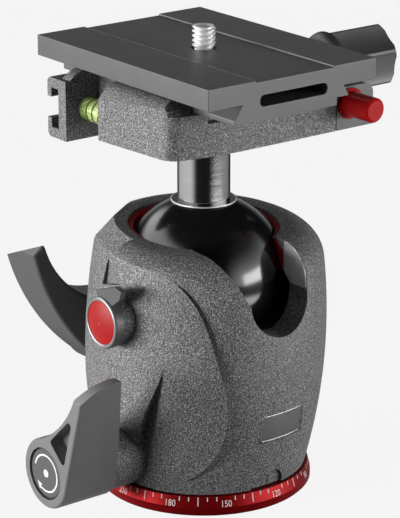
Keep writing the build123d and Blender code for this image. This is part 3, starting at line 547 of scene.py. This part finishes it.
def add_number(mark, material):
    curve = bpy.data.curves.new("number", "FONT")
    curve.body = str(mark)
    curve.align_x = "CENTER"
    curve.size = number_height / capital_share
    curve.extrude = number_depth
    curve.resolution_u = 3
    holder = bpy.data.objects.new("number", curve)
    bpy.context.scene.collection.objects.link(holder)
    bpy.context.view_layer.update()
    mesh = bpy.data.meshes.new_from_object(holder.evaluated_get(bpy.context.evaluated_depsgraph_get()))
    bpy.data.objects.remove(holder)
    turn = mark_turn(mark)
    bm = bmesh.new()
    bm.from_mesh(mesh)
    for vert in bm.verts:
        u, v, lift = vert.co
        angle = turn + u * number_narrowing / scale_foot[0]
        vert.co = cone_point(angle, number_foot_z + v, lift - number_sink)
    add_piece("pan_base", f"scale_number_{mark}", bm, material, smooth=False)


# ---------------------------------------------------------------- bubble levels
tube_steps = 48
tube_wall_share = 0.16       # of the tube's radius
tube_end_round = 0.25
liquid_gap = 0.03
liquid_end_gap = 0.2
liquid_shoulder = 0.8
liquid_end_share = 0.55      # of the liquid's radius
mark_places = (-0.15, 0.10, 0.24)    # shares of the tube's length
mark_depth = 0.12
mark_half_width = 0.14
bubble_steps = 24
bubble_rows = 10
bubble_width_share = 0.62    # of the liquid's radius
bubble_rise_share = 0.42
bubble_length_share = 0.11   # of the tube's length
bubble_shift_share = 0.02


def add_vial(node, axis, materials):
    """A clear capped tube with its liquid, its bubble and its marking rings, in place of the plain rod."""
    low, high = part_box(node)
    centre = (low + high) / 2
    size = high - low
    length = size[axis] / MM
    half = length / 2
    radius = size.z / MM / 2
    bore = radius - radius * tube_wall_share
    inner = bore - liquid_gap

    def at(u, v, w):
        return centre + (mm(u, w, v) if axis == 1 else mm(w, u, v))

    tube = bmesh.new()
    add_turned_ring(tube, [(bore, -half), (radius - tube_end_round, -half), (radius, -half + tube_end_round),
                           (radius, half - tube_end_round), (radius - tube_end_round, half), (bore, half)],
                    tube_steps, at)
    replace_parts(add_piece(node, node + "_tube", tube, materials["clear"]), node)
    liquid = bmesh.new()
    profile = [(inner * liquid_end_share, -half + liquid_end_gap), (inner, -half + liquid_shoulder),
               (inner, half - liquid_shoulder), (inner * liquid_end_share, half - liquid_end_gap)]
    add_rows(liquid, ring_rows(profile, tube_steps, at))
    add_piece(node, node + "_liquid", liquid, materials["liquid"])
    marks = bmesh.new()
    for place in mark_places:
        start, end = place * length - mark_half_width, place * length + mark_half_width
        add_turned_ring(marks, [(radius - mark_depth, start), (radius, start), (radius, end),
                                (radius - mark_depth, end)], tube_steps, at)
    add_piece(node, node + "_marks", marks, materials["ink"])
    bubble = bmesh.new()
    turns = [math.pi * k / bubble_rows for k in range(1, bubble_rows)]
    profile = [(inner * bubble_width_share * math.sin(turn), -math.cos(turn) * length * bubble_length_share)
               for turn in turns]
    rise, shift = inner * bubble_rise_share, bubble_shift_share * length
    add_rows(bubble, ring_rows(profile, bubble_steps, lambda u, v, w: at(u, v + rise, w - shift)))
    add_piece(node, node + "_bubble", bubble, materials["bubble"])


# ---------------------------------------------------------------- marks and trim
mark_half_depth = 0.05       # the marks stand this far out of the cap, and reach as far into it
arrow_line = (4.9, 5.45)     # radii of the round arrow on the pan lock's cap
arrow_span = (15, 300)       # degrees
arrow_tip = (322, 5.18)      # degrees and radius
arrow_barb_turn = 298
arrow_barb_radii = (6.15, 4.2)
dot_radius = 1.1
dot_inner = 0.02
arc_step = 6                 # degrees


def add_pan_cap_mark(material):
    low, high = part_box("pan_lock_cap")
    centre = Vector((low.x, (low.y + high.y) / 2, (low.z + high.z) / 2))
    bm = bmesh.new()
    add_arc(bm, centre, *arrow_line, *arrow_span)
    corners = [arrow_tip] + [(arrow_barb_turn, radius) for radius in arrow_barb_radii]
    arrow = [(math.cos(math.radians(turn)) * radius, math.sin(math.radians(turn)) * radius)
             for turn, radius in corners]
    add_rows(bm, [[centre + mm(x, y, z) for y, z in arrow] for x in (mark_half_depth, -mark_half_depth)])
    add_arc(bm, centre, dot_inner, dot_radius, 0, 360)
    add_piece("pan_lock_cap", "pan_cap_arrow", bm, material, smooth=False)


def add_arc(bm, centre, inner, outer, start, end):
    """A thin flat arc on a face that looks toward -X, angles from +Y toward +Z."""
    rows = []
    section = ((inner, mark_half_depth), (outer, mark_half_depth), (outer, -mark_half_depth),
               (inner, -mark_half_depth))
    for degrees in steps_between(start, end, int((end - start) / arc_step)):
        turn = math.radians(degrees)
        rows.append([centre + mm(x, radius * math.cos(turn), radius * math.sin(turn))
                     for radius, x in section])
    add_rows(bm, rows)


friction_ring_radius = 7.0
friction_ring_steps = 72
friction_ring_profile = ((-1.1, 0.3), (-0.9, -0.12), (-0.35, -0.22), (0.0, 0.02), (0.0, 0.3))


def add_friction_ring(material):
    low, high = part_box("friction_cap")
    centre = Vector((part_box("friction_knob")[0].x, (low.y + high.y) / 2, (low.z + high.z) / 2))
    bm = bmesh.new()
    add_turned_ring(bm, [(friction_ring_radius + inset, height) for inset, height in friction_ring_profile],
                    friction_ring_steps, lambda u, v, w: centre + mm(w, u, v))
    add_piece("friction_knob", "friction_cap_ring", bm, material)


badge_margin = 0.25
badge_side_steps = 16
badge_line_width = 0.32
badge_line_lift = 0.10


def add_badge_frame(material):
    hit = front_of("badge_plate")
    low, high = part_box("badge_plate")
    margin = badge_margin * MM
    left, right = low.x + margin, high.x - margin
    foot, top = low.z + margin, high.z - margin
    corners = [(left, foot), (right, foot), (right, top), (left, top), (left, foot)]
    bm = bmesh.new()
    for (x0, z0), (x1, z1) in zip(corners, corners[1:]):
        places = zip(steps_between(x0, x1, badge_side_steps), steps_between(z0, z1, badge_side_steps))
        path = [found for found in (hit(x, z) for x, z in places) if found]
        add_laid_strip(bm, path, badge_line_width, badge_line_lift)
    add_piece("badge_plate", "badge_frame", bm, material)


index_x = 0.3
index_low_z = 6.3
index_high_z = 9.0
index_steps = 8
index_width = 0.35
index_lift = 0.03


def add_index_line(material):
    hit = front_of("body_casting")
    heights = steps_between(index_low_z, index_high_z, index_steps)
    path = [found for found in (hit(index_x * MM, z * MM) for z in heights) if found]
    bm = bmesh.new()
    add_laid_strip(bm, path, index_width, index_lift)
    add_piece("body_casting", "index_line", bm, material)


notch_wall_x = 10.6
lining_low_z = 61.5
lining_high_z = 72.6
lining_inner_y = -21.8
lining_steps = 14
lining_foot_share = 0.25     # the lowest share of the lining runs further in
lining_foot_reach = 3.0
lining_thickness = (0.2, -0.25)      # into the wall and out of it
lining_front_inset = 0.25
lining_lip = 0.1
lining_round = 0.15
lining_round_segments = 2
lining_probe = 0.4
# a painted highlight: a bright strip along the lining's outer edge
edge_x = notch_wall_x - 0.18
edge_inset = 0.02
edge_facing = (-0.7, -0.7, 0)
edge_width = 0.3
edge_lift = 0.12


def add_notch_lining(material, edge_highlight_material):
    """The smooth lining plate on the notch's right wall, which also covers the liner's cut end, and a bright
    strip along its outer edge that is a painted highlight.
    """
    hit = front_of("body_casting")
    outline = []
    for k, z in enumerate(steps_between(lining_low_z, lining_high_z, lining_steps)):
        place, _ = hit((notch_wall_x + lining_probe) * MM, z * MM)
        share = k / lining_steps
        reach = lining_foot_reach * max(0.0, lining_foot_share - share) / lining_foot_share
        outline.append((place.y / MM + lining_front_inset, lining_inner_y - reach, z))
    wall, face = (notch_wall_x + depth for depth in lining_thickness)
    bm = bmesh.new()
    add_rows(bm, [[mm(wall, outer, z), mm(face, outer + lining_lip, z), mm(face, inner, z),
                   mm(wall, inner, z)] for outer, inner, z in outline])
    piece = add_piece("badge_plate", "notch_lining", bm, material)
    soften(piece, lining_round, lining_round_segments)
    # the bright strip is a painted highlight on the outer edge
    bm = bmesh.new()
    path = [(mm(edge_x, outer - edge_inset, z), Vector(edge_facing)) for outer, _, z in outline]
    add_laid_strip(bm, path, edge_width, edge_lift)
    add_piece("badge_plate", "notch_lining_edge_highlight", bm, edge_highlight_material)


plate_band_left = -12.5      # the raised side bands of the plate end here
plate_band_right = 13.3
plate_band_depth = 0.45
plate_line_end_gap = 0.5
plate_line_steps = 8
plate_line_lift = 0.015
# a painted highlight strip on the left band's corner and a painted shadow strip at the right band's foot
plate_highlight_width = 0.16
plate_shadow_width = 0.42
plate_shadow_inset = 0.22


def add_plate_lines(bright, dark):
    """A painted highlight along the corner of the left band and a painted shadow line at the foot of the
    right one.
    """
    low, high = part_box("qr_plate")
    front, back = low.y + plate_line_end_gap * MM, high.y - plate_line_end_gap * MM
    for name, material, x, drop, width in (
            ("plate_left_painted_highlight", bright, plate_band_left - plate_highlight_width, 0.0, plate_highlight_width),
            ("plate_right_painted_shadow", dark, plate_band_right - plate_shadow_inset, plate_band_depth,
             plate_shadow_width)):
        z = high.z - drop * MM
        path = [(Vector((x * MM, y, z)), upright) for y in steps_between(front, back, plate_line_steps)]
        bm = bmesh.new()
        add_laid_strip(bm, path, width, plate_line_lift)
        add_piece("qr_plate", name, bm, material, smooth=False)


collar_ring_radius = 9.1
collar_ring_width = 0.32
collar_ring_sink = 0.3
collar_ring_lift = 0.02
collar_ring_slope = (0.1, 0.08)      # how far in and down the rounded edge starts
collar_ring_steps = 96


def add_collar_ring(material):
    """A bright ring along the edge of the collar that the stem stands in."""
    low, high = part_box("ball_collar")
    outer = min(collar_ring_radius, (high.x - low.x) / MM / 2)
    inner = outer - collar_ring_width
    inset, drop = collar_ring_slope
    profile = [(inner, -collar_ring_sink), (inner, collar_ring_lift), (outer - inset, collar_ring_lift),
               (outer, -drop), (outer, -collar_ring_sink)]
    bm = bmesh.new()
    add_turned_ring(bm, profile, collar_ring_steps, lambda u, v, w: upright * high.z + mm(u, v, w))
    add_piece("ball_collar", "collar_ring", bm, material)


# ---------------------------------------------------------------- studio
# Directions are told from the photograph's camera: towards it, and to its left. A span is where a soft edge
# starts and ends, as a share of a direction or a distance in metres.
towards_camera = Vector((-math.sin(camera_azimuth), -math.cos(camera_azimuth), 0))
camera_left = Vector((-math.cos(camera_azimuth), math.sin(camera_azimuth), 0))

floor_size = 6.0
floor_white = 0.90           # the share of the floor that is plain white; the rest shows the object's shadow
floor_tone = 0.32
left_floor_glow = 0.65       # the floor beside the object, as polished pieces mirror it
left_floor_span = (0.5, 0.9)
right_floor_glow = 0.30
right_floor_span = (-0.95, -0.5)
bounce_turn = 62             # a bright patch of floor at the front right, which the ball mirrors
bounce_glow = 8.0
bounce_span = (0.80, 0.96)
bounce_near = (0.11, 0.15)
bounce_far = (0.20, 0.24)

world_fill = 0.06
high_panel_glow = 3.6        # the mirrored panels: one high at the left, one low at the right, one behind
high_panel_side = (0.30, 0.55)
high_panel_foot = (0.25, 0.42)
high_panel_top = (0.68, 0.80)
low_panel_glow = 4.0
low_panel_top_glow = 0.2
low_panel_side = (-0.80, -0.45)
low_panel_height = (0.0, 0.65)
low_panel_back = (-0.45, -0.30)
back_panel_glow = 0.60
back_panel_rest = 0.01
back_panel_drop = 0.35
back_panel_span = (0.72, 1.02)

lamp_distance = 1.60
lamp_aim = Vector((0, 0, 0.09))
lamps = {                    # degrees to the camera's left, height, width and height of the panel, power
    "left_panel": (72, 0.170, (1.40, 0.33), 37.5),
    "right_panel": (-76, 0.190, (1.25, 0.37), 17.5),
}


def direct_rays(tree):
    """The rays that see a thing straight or through clear plastic, and the ones that see it mirrored."""
    path = tree.add("ShaderNodeLightPath")
    direct = tree.combine("MAXIMUM", path.outputs["Is Camera Ray"], path.outputs["Is Transmission Ray"])
    return direct, path.outputs["Is Glossy Ray"]


def floor_glow(tree):
    """How bright polished pieces see the floor: at both sides, and in a patch at the front right."""
    place = tree.add("ShaderNodeTexCoord").outputs["Object"]
    level = tree.add("ShaderNodeVectorMath", operation="NORMALIZE")
    tree.link(place, level.inputs[0])
    way = level.outputs["Vector"]
    distance = tree.add("ShaderNodeVectorMath", operation="LENGTH")
    tree.link(place, distance.inputs[0])
    reach = distance.outputs["Value"]
    sideways = tree.along(way, camera_left)
    left = tree.step(sideways, left_floor_span, (0.0, left_floor_glow))
    right = tree.step(sideways, right_floor_span, (right_floor_glow, 0.0))
    turn = math.radians(bounce_turn)
    bounce_way = towards_camera * math.cos(turn) - camera_left * math.sin(turn)
    bounce = tree.step(tree.along(way, bounce_way), bounce_span, (0.0, bounce_glow))
    near = tree.step(reach, bounce_near)
    far = tree.step(reach, bounce_far, (1.0, 0.0))
    bounce = tree.combine("MULTIPLY", bounce, tree.combine("MULTIPLY", near, far))
    return tree.combine("ADD", bounce, tree.combine("ADD", left, right))


def add_floor():
    """A pale floor, nearly white to the camera, with the object's soft shadow."""
    bpy.ops.mesh.primitive_plane_add(size=floor_size, location=(0, 0, 0))
    floor = bpy.context.object
    floor.name = "studio_floor"
    material = bpy.data.materials.new("studio_floor")
    tree = Tree(material)
    tree.tree.nodes.clear()
    diffuse = tree.add("ShaderNodeBsdfDiffuse")
    diffuse.inputs["Color"].default_value = (floor_tone, floor_tone, floor_tone, 1.0)
    direct, glossy = direct_rays(tree)
    strength = tree.add("ShaderNodeMix")
    tree.link(direct, strength.inputs["Factor"])
    tree.link(floor_glow(tree), strength.inputs["A"])
    strength.inputs["B"].default_value = 1.0
    glow = tree.add("ShaderNodeEmission")
    tree.link(strength.outputs["Result"], glow.inputs["Strength"])
    share = tree.combine("MULTIPLY", tree.combine("MAXIMUM", direct, glossy), floor_white)
    mix = tree.add("ShaderNodeMixShader")
    tree.link(share, mix.inputs["Fac"])
    tree.link(diffuse.outputs["BSDF"], mix.inputs[1])
    tree.link(glow.outputs["Emission"], mix.inputs[2])
    tree.link(mix.outputs["Shader"], tree.add("ShaderNodeOutputMaterial").inputs["Surface"])
    dress(floor, material)


def panel_glow(tree):
    """How bright polished pieces see the room: three soft panels in the dark."""
    way = tree.add("ShaderNodeTexCoord").outputs["Generated"]
    sideways = tree.along(way, camera_left)
    forward = tree.along(way, towards_camera)
    upward = tree.along(way, upright)
    behind = tree.along(way, -towards_camera - upright * back_panel_drop)
    high_panel = tree.combine("MULTIPLY", tree.step(sideways, high_panel_side),
                              tree.step(upward, high_panel_foot, (0.0, high_panel_glow)))
    high_panel = tree.combine("MULTIPLY", high_panel, tree.step(upward, high_panel_top, (1.0, 0.0)))
    low_panel = tree.combine("MULTIPLY", tree.step(sideways, low_panel_side, (1.0, 0.0)),
                             tree.step(upward, low_panel_height, (low_panel_glow, low_panel_top_glow)))
    low_panel = tree.combine("MULTIPLY", low_panel, tree.step(forward, low_panel_back))
    back_panel = tree.step(behind, back_panel_span, (back_panel_rest, back_panel_glow))
    return tree.combine("ADD", tree.combine("ADD", high_panel, low_panel), back_panel)


def add_world():
    """White to the camera, faint light on the object, and the panels for reflections."""
    world = bpy.data.worlds.new("studio")
    bpy.context.scene.world = world
    tree = Tree(world)
    tree.tree.nodes.clear()

    def background(strength):
        made = tree.add("ShaderNodeBackground")
        made.inputs["Color"].default_value = (1.0, 1.0, 1.0, 1.0)
        made.inputs["Strength"].default_value = strength
        return made

    direct, glossy = direct_rays(tree)
    mirrored = background(0.0)
    tree.link(panel_glow(tree), mirrored.inputs["Strength"])
    shader = background(world_fill).outputs["Background"]
    for rays, seen in ((glossy, mirrored), (direct, background(1.0))):
        mix = tree.add("ShaderNodeMixShader")
        tree.link(rays, mix.inputs["Fac"])
        tree.link(shader, mix.inputs[1])
        tree.link(seen.outputs["Background"], mix.inputs[2])
        shader = mix.outputs["Shader"]
    tree.link(shader, tree.add("ShaderNodeOutputWorld").inputs["Surface"])


def add_lamp(name, turn, height, size, power):
    """A soft panel that stands round the object and looks at it."""
    data = bpy.data.lights.new(name, "AREA")
    data.shape = "RECTANGLE"
    data.size, data.size_y = size
    data.energy = power
    lamp = bpy.data.objects.new(name, data)
    angle = math.radians(turn)
    aside = towards_camera * math.cos(angle) + camera_left * math.sin(angle)
    lamp.location = aside * lamp_distance + Vector((0, 0, height))
    lamp.rotation_euler = (lamp_aim - lamp.location).to_track_quat("-Z", "Y").to_euler()
    bpy.context.scene.collection.objects.link(lamp)


# ---------------------------------------------------------------- build
bpy.context.scene.view_settings.view_transform = "Standard"
add_camera()
add_floor()
add_world()
for name, settings in lamps.items():
    add_lamp(name, *settings)

materials = make_materials()
for finish, names in finish_of_node.items():
    for name in names:
        dress(nodes[name], materials[finish])

rounded = {                  # finish, width in mm and segments of the rounded edges
    "qr_plate": ("satin", 0.30, 2),
    "movable_jaw": ("satin", 0.45, 3),
    "clamp_body": ("coat", 0.9, 4),
    # the pan lock lever's black plastic, painted lighter for the light it catches
    "pan_lock_lever": ("moulded_black_painted_lighter", 0.5, 3),
    "clamp_knob": ("moulded", 0.5, 3),
    "friction_knob": ("moulded", 0.35, 2),
}
for name, (finish, width, segments) in rounded.items():
    add_rounded_copy(name, materials[finish], width, segments)

add_camera_screw(materials["thread"])
add_scale(materials["ink_pale"])
add_vial("side_vial", 1, materials)
add_vial("rear_vial", 0, materials)
add_pan_cap_mark(materials["ink_pale"])
add_friction_ring(materials["ring"])
add_badge_frame(materials["frame"])
add_index_line(materials["ink"])
add_notch_lining(materials["lining"], materials["frame"])
# painted highlight and painted shadow lines on the plate
add_plate_lines(materials["frame"], materials["ink"])
add_collar_ring(materials["thread"])
